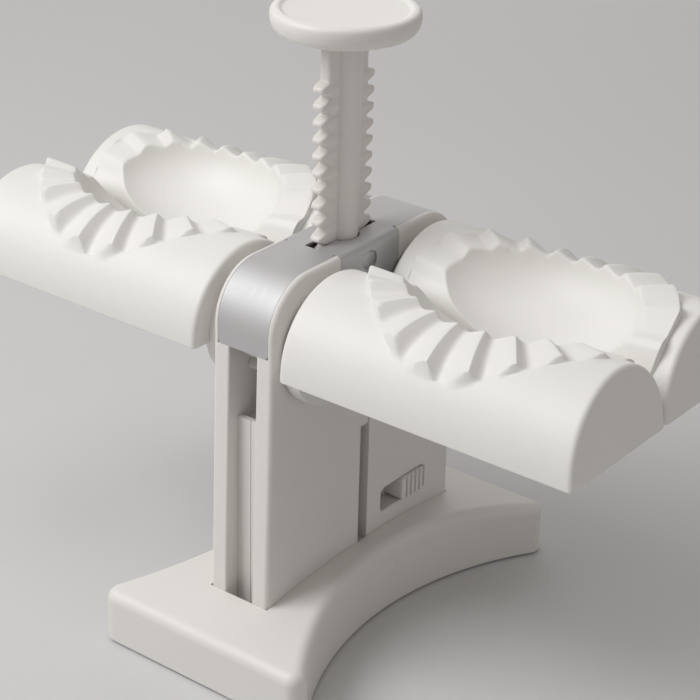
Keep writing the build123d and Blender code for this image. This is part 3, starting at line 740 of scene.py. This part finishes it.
        bowl = even_steps(path(0, rim, "bowl"), FINE_STEPS)
        cut = FINE_STEPS - max(int(round(rounding / np.linalg.norm(bowl[1] - bowl[0]))), 1)
        fan = even_steps(path(rim, crest, "fan"), FINE_STEPS // 2)
        begin = min(max(int(round(rounding / np.linalg.norm(fan[1] - fan[0]))), 1), FINE_STEPS // 5)
        bend = np.linspace(0, 1, RIM_STEPS + 1)[1:, None]
        rim_rows = (1 - bend) ** 2 * bowl[cut] + 2 * bend * (1 - bend) * fan[0] + bend ** 2 * fan[begin]
        points = np.concatenate([even_steps(bowl[:cut + 1], BOWL_STEPS), rim_rows,
                                 even_steps(fan[begin:], FAN_STEPS)[1:],
                                 even_steps(path(crest, outer, "fan"), BORDER_STEPS)[1:],
                                 even_steps(path(outer, edge, "round"), ROUND_STEPS)[1:]])
        hold = np.repeat([0.0, 1.0, 0.0], [BOWL_STEPS + 1 + RIM_STEPS, FAN_STEPS + BORDER_STEPS, ROUND_STEPS])
        share = np.hypot(points[:, 0] - self.middle_x, points[:, 1] - self.fan_y) / reach
        even = np.ones(len(points))
        return points, {"wave": wave * even, "share": share, "gate": gate * even, "hold": hold}, end

    def wrap(self, edge: Array, end: int, around: float, corner: bool) -> Array:
        """Points from the top's border over the rounded edge and down to the middle of the cover's pocket.

        Args:
            edge: Point of the border.
            end: End of the mould that the point belongs to, 0 for a side.
            around: Angle in radians round a corner, 0 at the side and a quarter turn at the end.
            corner: True at a corner, where the points follow the round before they drop.

        Returns:
            The points in order.
        """
        radius, bends = self.end_round(end), np.linspace(0, QUARTER, BEND_STEPS + 1)[1:]
        if end:
            bends = np.minimum(bends, around)
            way = (edge[1:] - [self.axle_y, self.axle_z]) / self.radius
            spread = self.radius - radius * (1 - np.cos(bends))
            y, z = self.axle_y + spread * way[0], self.axle_z + spread * way[1]
            over = np.stack([self.end_x(z, end) - end * radius * (1 - np.sin(bends)), y, z], 1)
        else:
            over = np.repeat(edge[None], BEND_STEPS, axis=0)
        side = math.copysign(1, edge[1] - self.axle_y)
        outward = np.array([end * math.sin(around), side * math.cos(around), 0.0])
        heights = np.linspace(over[-1, 2], self.floor_z + self.foot_round, 7)[1:]
        shift = self.end_x(heights, end) - self.end_x(over[-1, 2], end) if end else 0 * heights
        above = np.maximum(heights, self.axle_z if corner else over[-1, 2]) - self.axle_z
        last = math.hypot(over[-1, 1] - self.axle_y, over[-1, 2] - self.axle_z)
        level = self.axle_y + np.sqrt(last ** 2 - above ** 2) * side
        drop = np.stack([over[-1, 0] + shift, level, heights], 1)
        turn = np.linspace(0, QUARTER, BEND_STEPS)[1:, None]
        foot = drop[-1] - outward * self.foot_round * (1 - np.cos(turn))
        foot[:, 2] = self.floor_z + self.foot_round * (1 - np.sin(turn[:, 0]))
        low_x, high_x = sorted(self.side * np.array(self.cover_x))
        low_y, high_y = self.axle_y - self.cover_half_y, self.axle_y + self.cover_half_y
        pocket = np.clip(foot[-1], [low_x, low_y, self.floor_z], [high_x, high_y, self.floor_z])
        deep = pocket + [0, 0, self.cover_depth]
        pole = np.array([(low_x + high_x) / 2, self.axle_y, self.floor_z + self.cover_depth])
        return np.concatenate([over, drop, foot, [pocket, deep, pole]])

    def build(self, material: Material) -> Object:
        """Make the mould's mesh: crimped top, rounded ends, skirt and a pocket for its cover.

        Args:
            material: Finish of the plastic.

        Returns:
            The finished piece.
        """
        turns, corners = self.turns()
        lines = [self.line(turn, turn in corners) for turn in turns]
        tops, marks, skirts = [], {mark: [] for mark in MOULD_MARKS}, []
        for number, (points, given, end) in enumerate(lines):
            arounds, corner = [QUARTER if end else 0.0], turns[number] in corners
            if corner:
                arounds = np.linspace(0, QUARTER, BEND_STEPS + 1)
                onwards = lines[(number + 1) % len(lines)][2]
                arounds = arounds if onwards else arounds[::-1]
            for around in arounds:
                tops.append(points)
                skirts.append(self.wrap(points[-1], end, around, corner))
                for mark in MOULD_MARKS:
                    marks[mark].append(np.r_[given[mark], np.zeros(len(skirts[-1]))])
        patches = Patchwork()
        columns = np.stack([np.concatenate(pair) for pair in zip(tops, skirts)], axis=1)
        patches.tube(columns, {mark: np.stack(kept, axis=1) for mark, kept in marks.items()})
        piece = patches.build(self.name)
        self.crimp(piece, material)
        if self.back:
            piece.data.transform(Matrix.Rotation(math.pi, 4, "Z"))
        close_up(piece)
        return piece

    def crimp(self, piece: Object, material: Material) -> None:
        """Press the pleats into the round by a tree that follows their rule.

        Args:
            piece: The smooth mould, with its marks.
            material: Finish of the plastic.
        """
        recipe = Recipe(f"{self.name}_crimp", self, "axle_y axle_z radius pleat_height inner_height "
                        "mean_rise inner_share crest_share trough_share")
        axle_y, axle_z, radius, most, least, mean, inner, crest, trough = recipe.all_sizes()
        wave, share, gate, hold = (recipe.attribute(mark) for mark in MOULD_MARKS)
        grown = ((share - inner) / (crest - inner)).clamp()
        risen = mean * gate + wave * (least + (most - least) * grown)
        steep = ((1 - share) / (1 - crest)).clamp()
        gentle = ((1 - share) / (1 - trough)).clamp()
        rise = risen.clamp(0.0, 1.0) * steep + risen.clamp(-1.0, 0.0) * gentle
        _, y, z = recipe.position()
        across, raised = y - axle_y, radius + rise
        lifted = axle_z + (raised * raised - across * across).clamp(0.0, 1.0) ** 0.5
        recipe.bake(piece, recipe.shift(recipe.start(), Z=(lifted - z) * hold), material)


def round_corner(before: tuple, corner: tuple, after: tuple, radius: float, steps: int = 6) -> list[tuple]:
    """Points of an arc that rounds a corner of an outline.

    Args:
        before: Point before the corner.
        corner: The corner.
        after: Point after the corner.
        radius: Distance from the corner to where the rounding starts and ends.
        steps: Number of steps along the rounding.

    Returns:
        The points, in order.
    """
    start, end = (Vector(corner) + (Vector(other) - Vector(corner)).normalized() * radius
                  for other in (before, after))
    shares = [step / steps for step in range(steps + 1)]
    return [tuple(start.lerp(Vector(corner), share).lerp(Vector(corner).lerp(end, share), share))
            for share in shares]


@dataclass
class Turned:
    """Closed piece whose outline is turned about an axis along X or Z."""

    name: str
    outline: list[Pair]
    middle: Triple = (0.0, 0.0, 0.0)
    along: str = "Z"
    way: int = 1
    steps: int = 128

    def build(self, material: Material) -> Object:
        """Turn the outline, given as distance from the axis and place along it.

        Args:
            material: Finish of the piece.

        Returns:
            The finished piece.
        """
        turns = np.linspace(0, 2 * math.pi, self.steps, endpoint=False)
        rows = []
        for radius, place in self.outline:
            first, second = radius * np.cos(turns) * MM, radius * np.sin(turns) * MM
            level = np.full(turns.shape, place * self.way * MM)
            parts = (level, first, second) if self.along == "X" else (first, second, level)
            rows.append(np.stack(parts, 1) + np.array(self.middle) * MM)
        patches = Patchwork()
        patches.tube(np.stack(rows), {})
        piece = patches.build(self.name)
        piece.data.materials.append(material)
        close_up(piece, 30.0)
        return piece


COLLAR = [(0.0, 16.5), (5.05, 16.5), (5.05, 14.3),
          *round_corner((5.05, 14.3), (21.5, 14.3), (21.5, 20.8), 1.4),
          (21.5, 20.8), (7.5, 20.8), (7.5, 36.6), (0.0, 36.6)]
KNOB = [(0.0, -9.0), (6.4, -9.0),
        *round_corner((6.4, -9.0), (25.6, -9.0), (26.8, -3.6), 4.0, 8),
        *round_corner((26.3, -6.0), (26.8, -3.6), (26.8, -2.9), 0.6, 3),
        *round_corner((26.8, -3.2), (26.8, 0.0), (23.0, 0.0), 2.6, 8),
        *round_corner((24.2, 0.0), (23.6, 0.0), (22.4, -0.9), 0.5, 3),
        *round_corner((23.6, 0.0), (22.4, -0.9), (0.0, -0.9), 0.6, 3), (0.0, -0.9)]


@dataclass
class ToothedRack:
    """Round plunger rod with a bar of rounded rack teeth down its front and its back."""

    name: str = "toothed_rack"
    rod_radius: float = 6.4 * MM
    rod_bevel: float = 0.3 * MM
    rod_bottom: float = 84.0 * MM
    rod_top: float = 236.0 * MM
    bar_top: float = 232.0 * MM
    half_width: float = 2.6 * MM
    corner_round: float = 1.5 * MM
    pitch: float = 2 * math.pi * MM
    root: float = 11.3 * MM
    height: float = 4.1 * MM
    first_z: float = (126.0 - 6 * math.pi) * MM
    teeth: int = 18
    tip_half: float = 1.0 * MM
    slope: float = 2.9
    softness: float = 2.6 * MM

    def build(self, material: Material) -> Object:
        """Make the rod and the toothed bar, which overlap in one piece.

        Args:
            material: Finish of the plastic.

        Returns:
            The finished piece.
        """
        patches = Patchwork()
        turns = np.linspace(0, 2 * math.pi, 96, endpoint=False)
        low, high, wide, bevel = self.rod_bottom, self.rod_top, self.rod_radius, self.rod_bevel
        outline = [(low, 0.0), (low, wide - bevel), (low + bevel, wide), (high, wide), (high, 0.0)]
        rod = np.stack([np.stack([radius * np.cos(turns), radius * np.sin(turns), np.full(turns.shape, z)], 1)
                        for z, radius in outline])
        patches.tube(rod, {"push": np.zeros(rod.shape[:2])})
        bend = np.linspace(0, QUARTER, BEND_STEPS)
        inner = self.half_width - self.corner_round
        corner_x = inner + self.corner_round * np.cos(bend)
        corner_y = self.root - self.corner_round * (1 - np.sin(bend))
        ring_x = np.r_[corner_x, -corner_x[::-1], -corner_x, corner_x[::-1]]
        ring_y = np.r_[corner_y, corner_y[::-1], -corner_y, -corner_y[::-1]]
        bottom = self.first_z - self.pitch / 2
        top = self.first_z + (self.teeth - 0.5) * self.pitch
        levels = np.r_[bottom, np.arange(bottom, top, self.pitch / 28), self.bar_top, self.bar_top]
        points = np.stack([np.stack([ring_x, ring_y, np.full(ring_x.shape, z)], 1) for z in levels])
        points[[0, -1], :, :2] = 0
        push = np.repeat(np.sign(ring_y)[None], len(levels), axis=0)
        push[[0, -1]] = 0
        patches.tube(points, {"push": push})
        piece = patches.build(self.name)
        self.cut_teeth(piece, material)
        close_up(piece, 45.0)
        return piece

    def cut_teeth(self, piece: Object, material: Material) -> None:
        """Push the bar's two edges out into a row of rounded teeth, one to each pitch.

        Args:
            piece: Rod and plain bar, with the direction in which each point may be pushed.
            material: Finish of the plastic.
        """
        recipe = Recipe("rack_teeth", self, "pitch first_z teeth height tip_half slope softness")
        pitch, first, teeth, height, tip_half, slope, softness = recipe.all_sizes()
        along = (recipe.position()[2] - first) / pitch
        number = along.apply("ROUND").clamp(0.0, teeth - 1)
        off = (along - number).apply("ABSOLUTE") * pitch
        flank = height - (off - tip_half) * slope
        tooth = flank.apply("SMOOTH_MIN", height, softness).apply("SMOOTH_MAX", 0.0, softness)
        recipe.bake(piece, recipe.shift(recipe.start(), Y=tooth * recipe.attribute("push")), material)


@dataclass
class ScrewSet:
    """Pan-head screws with a cross recess, or plain domed rivets, all of one size and direction."""

    name: str
    node: str
    body: str
    slot: Slot
    centres: list[Triple]
    turn: Triple
    head_radius: float
    head_height: float
    shank_radius: float
    shank_length: float
    dome: float = 0.5 * MM
    recess_depth: float = 0.9 * MM
    arm_share: float = 0.20
    reach_share: float = 0.62

    def build(self, material: Material) -> Object:
        """Set one screw on each centre, by a tree that makes the head, its recess and the shank.

        Args:
            material: Finish of the metal.

        Returns:
            The finished piece.
        """
        mesh = bpy.data.meshes.new(self.name)
        mesh.from_pydata([tuple(value * MM for value in centre) for centre in self.centres], [], [])
        piece = show(self.name, mesh)
        sizes = "head_radius head_height shank_radius shank_length dome recess_depth arm_share reach_share"
        recipe = Recipe(f"{self.name}_recipe", self, sizes)
        radius, height, shank, length, dome, depth, arm_share, reach_share = recipe.all_sizes()

        def cylinder(vertices: int, rings: int, wide: Signal, deep: Signal) -> Signal:
            """Closed cylinder round the middle, along Z."""
            sockets = {"Vertices": vertices, "Side Segments": 1, "Fill Segments": rings, "Radius": wide,
                       "Depth": deep}
            return recipe.node("GeometryNodeMeshCylinder", sockets, "Mesh", fill_type="TRIANGLE_FAN")

        x, y, z = recipe.position()
        wide, deep = x.apply("ABSOLUTE"), y.apply("ABSOLUTE")
        near, far = wide.apply("MINIMUM", deep), wide.apply("MAXIMUM", deep)
        arm = ((radius * arm_share - near) / (radius * 0.06)).clamp()
        reach = ((radius * reach_share - far) / (radius * 0.10)).clamp()
        round_off = dome * ((x * x + y * y) / (radius * radius)) ** 2.0
        top = z.apply("GREATER_THAN", height * 0.45)
        sink = (depth * arm * reach + round_off) * top
        formed = recipe.shift(cylinder(64, 22, radius, height), Z=height * -0.5 - sink)
        hung = recipe.shift(cylinder(32, 1, shank, length), Z=length * -0.5 - height * 0.9)
        both = recipe.node("GeometryNodeJoinGeometry")
        for part in (formed, hung):
            recipe.tree.links.new(part.socket, both.socket.node.inputs["Geometry"])
        turned = tuple(math.radians(angle) for angle in self.turn)
        placed = recipe.node("GeometryNodeInstanceOnPoints", {
            "Points": recipe.start(), "Instance": both, "Rotation": turned})
        recipe.bake(piece, placed, material)
        close_up(piece, 35.0)
        return piece


SCREWS = (
    ScrewSet("column_screw_row", "column_screws", "frame", Slot.SCREW,
             [(-12.3, side * reach, z) for side in (-1, 1) for reach, z in ((42, 62), (42, 92), (44, 144))],
             (0, -90, 0), 2.8 * MM, 2.0 * MM, 1.5 * MM, 21.0 * MM),
    ScrewSet("base_screw_set", "base_screws", "frame", Slot.SCREW,
             [(x, y, 3.2) for x in (-10.05, 10.05) for y in (-35, 35)],
             (180, 0, 0), 3.3 * MM, 1.8 * MM, 1.6 * MM, 14.5 * MM),
    ScrewSet("foot_cross_screw", "foot_screw", "plunger", Slot.SCREW, [(0, 0, 78.2)],
             (180, 0, 0), 3.4 * MM, 1.8 * MM, 1.6 * MM, 13.5 * MM),
    *(ScrewSet(f"{word}_strap_rivet", "strap_rivets", "frame", Slot.RIVET, [(side * 13.7, 0, 148.3)],
               (0, side * 90, 0), 3.4 * MM, 1.2 * MM, 2.8 * MM, 3.9 * MM, 0.15 * MM, 0.0)
      for word, side in (("right", 1), ("left", -1))),
)


@dataclass
class CoilSpring:
    """Open coil spring that stands on its seat."""

    name: str
    low_z: float = 11.0 * MM
    length: float = 69.0 * MM
    coil_radius: float = 5.2 * MM
    wire_radius: float = 0.6 * MM
    coils: float = 11.0

    def build(self, material: Material) -> Object:
        """Wind the wire by a tree that draws the helix and sweeps a round along it.

        Args:
            material: Finish of the wire.

        Returns:
            The finished piece.
        """
        piece = show(self.name, bpy.data.meshes.new(self.name))
        recipe = Recipe(f"{self.name}_recipe", self, "low_z length coil_radius wire_radius coils")
        low, length, radius, wire, coils = recipe.all_sizes()
        helix = recipe.node("GeometryNodeCurveSpiral", {
            "Resolution": 48, "Rotations": coils, "Start Radius": radius, "End Radius": radius,
            "Height": length - wire * 2.0})
        ring = recipe.node("GeometryNodeCurvePrimitiveCircle", {"Resolution": 12, "Radius": wire}, "Curve")
        sockets = {"Curve": helix, "Profile Curve": ring, "Fill Caps": True}
        swept = recipe.node("GeometryNodeCurveToMesh", sockets)
        recipe.bake(piece, recipe.shift(swept, Z=low + wire), material)
        close_up(piece)
        return piece


# ---- studio
SOFTBOXES = (("key", (-0.66, -0.85, 1.10), 0.9, 15.5), ("fill", (1.3, 0.1, 0.75), 1.2, 1.6),
             ("top", (0.0, -0.15, 1.5), 0.8, 2.7), ("back", (-0.75, 1.1, 0.75), 1.2, 3.6))


@dataclass
class Studio:
    """Pale floor, soft lights and the camera."""

    floor_size: float = 6.0
    floor_tones: Pair = (0.60, 0.63)
    floor_roughness: float = 0.85
    sky_colour: Triple = (1.0, 0.94, 0.89)
    sky_strength: float = 0.27
    aim: Triple = (0.0, 0.0, 0.12)
    camera_place: Triple = (0.4234, -0.5523, 0.4520)
    camera_turn: Triple = (63.66, -1.357, 37.775)
    camera_lens: float = 106.02
    sensor_width: float = 36.0
    clip_start: float = 0.01

    def build(self) -> None:
        """Make the floor, the lights, the sky light and the camera."""
        self.floor()
        self.sky()
        for name, place, size, power in SOFTBOXES:
            self.light(name, place, size, power)
        self.camera()

    def floor(self) -> None:
        """Make the floor, a wide pale sheet under the part."""
        half = self.floor_size / 2
        mesh = bpy.data.meshes.new("floor")
        corners = [(-half, -half, 0), (half, -half, 0), (half, half, 0), (-half, half, 0)]
        mesh.from_pydata(corners, [], [(0, 1, 2, 3)])
        floor = show("floor", mesh)
        graph = Graph("floor_paper")
        tone = graph.blend(graph.noise(3.0, 2.0), *([tone] * 3 for tone in self.floor_tones))
        mesh.materials.append(graph.finish({"Base Color": tone, "Roughness": self.floor_roughness}))

    def sky(self) -> None:
        """Set the even light that comes from all round."""
        world = bpy.data.worlds.new("studio")
        world.use_nodes = True
        background = world.node_tree.nodes["Background"]
        background.inputs["Color"].default_value = (*self.sky_colour, 1.0)
        background.inputs["Strength"].default_value = self.sky_strength
        bpy.context.scene.world = world

    def light(self, name: str, place: Triple, size: float, power: float) -> None:
        """Hang a square softbox that faces the part.

        Args:
            name: Name of the light.
            place: Where it hangs.
            size: Length of its side.
            power: Its power in watts.
        """
        lamp = bpy.data.lights.new(name, "AREA")
        lamp.size, lamp.energy = size, power
        holder = show(name, lamp)
        holder.location = place
        holder.rotation_euler = (Vector(self.aim) - Vector(place)).to_track_quat("-Z", "Y").to_euler()

    def camera(self) -> None:
        """Place the camera."""
        lens = bpy.data.cameras.new("camera")
        lens.lens, lens.sensor_width, lens.clip_start = self.camera_lens, self.sensor_width, self.clip_start
        camera = show("camera", lens)
        camera.location = self.camera_place
        camera.rotation_euler = [math.radians(angle) for angle in self.camera_turn]
        scene = bpy.context.scene
        scene.camera = camera
        scene.view_settings.view_transform = "Standard"


def dress_nodes(materials: dict[str, Material]) -> None:
    """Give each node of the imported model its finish.

    Args:
        materials: Finished materials by the name of their slot.
    """
    for name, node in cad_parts.items():
        for holder in node.material_slots:
            slot = holder.material.name.split(".")[0]
            holder.material = materials[slot]
            LOG.info("%s: %s", name, slot)


def fit(maker: object, materials: dict[str, Material], body: str, slot: Slot, *nodes: str) -> Object:
    """Build a piece and hang it on its body.

    Args:
        maker: Description of the piece, which builds it.
        materials: Finished materials by the name of their slot.
        body: Name of the body that it rides on.
        slot: Material slot that it takes its finish from.
        *nodes: CAD nodes that it stands for.

    Returns:
        The finished piece.
    """
    piece = maker.build(materials[slot.value])
    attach(piece, body)
    if nodes:
        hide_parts(*nodes)
    LOG.info("%s: %d faces", piece.name, len(piece.data.polygons))
    return piece


def main() -> None:
    """Build everything in order and report it."""
    logging.basicConfig(level=logging.INFO, format="%(name)s: %(message)s")
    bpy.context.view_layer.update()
    materials = {finish.slot.value: finish.build() for finish in FINISHES}
    dress_nodes(materials)
    for name, side, back in (("front_right", 1, False), ("front_left", -1, False),
                             ("back_left", 1, True), ("back_right", -1, True)):
        jaw, y, toward = ("back_jaw", 29.8, -side) if back else ("front_jaw", -29.8, side)
        mould = CrimpedMould(f"{name}_crimped_mould", side, back)
        fit(mould, materials, jaw, Slot.MOULD, f"{name}_mould")
        collar = Turned(f"{name}_collar", COLLAR, (0.0, y, 126.0), "X", toward)
        fit(collar, materials, jaw, Slot.MOULD)
    knob = Turned("dished_knob", KNOB, (0.0, 0.0, 241.0), steps=192)
    fit(knob, materials, "plunger", Slot.KNOB, "press_knob")
    fit(ToothedRack(), materials, "plunger", Slot.RACK, "rack_rod")
    spring = CoilSpring("coiled_spring")
    coil = fit(spring, materials, "frame", Slot.SPRING, "return_spring")
    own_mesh(coil)
    for screws in SCREWS:
        fit(screws, materials, screws.body, screws.slot, screws.node)
    Studio().build()


if __name__ == "__main__":
    main()
